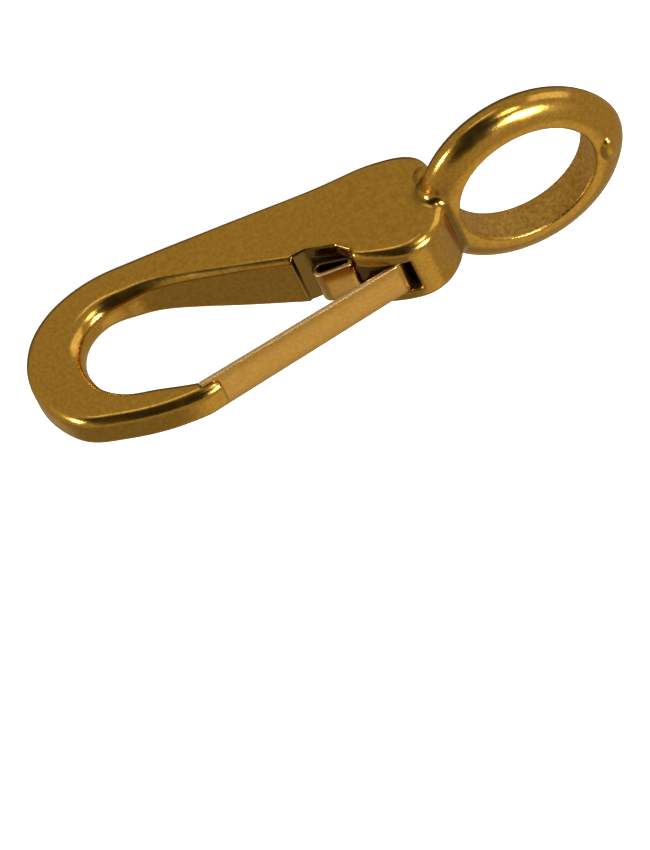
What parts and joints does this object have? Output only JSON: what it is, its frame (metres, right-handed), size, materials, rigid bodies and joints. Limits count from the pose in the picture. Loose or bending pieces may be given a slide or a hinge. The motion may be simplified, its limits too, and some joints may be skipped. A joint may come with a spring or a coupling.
{
  "type": "snap hook",
  "caption": "Flat cast snap hook with a round eye set square to the hook and a sprung leaf gate that closes its mouth.",
  "frame": {"origin": "middle of the object's bounding box, on the middle plane of the casting", "axes": "+X from the bowl of the hook to the eye, +Y the normal of one flat face of the casting, +Z from the spine to the gate side. The spine is down, because the hook lies on it when it is put down"},
  "size_m": [0.0904, 0.0308, 0.0282],
  "materials": {
    "cast_bronze": "polished casting, satin on the flats and bright on the rounded edges",
    "spring_bronze": "rolled spring strip, smooth with sheared edges"
  },
  "bodies": {
    "casting": {"hook_body": "cast_bronze", "spring_anchor": "spring_bronze"},
    "gate": {"gate_leaf": "spring_bronze"}
  },
  "joints": [
    {"name": "gate_flex", "type": "hinge", "parent": "casting", "child": "gate", "pos_m": [0.00617, 0, 0.01125], "axis": [0, -1, 0], "range_deg": [0, 22], "stiffness_Nm_per_rad": 0.8}
  ]
}
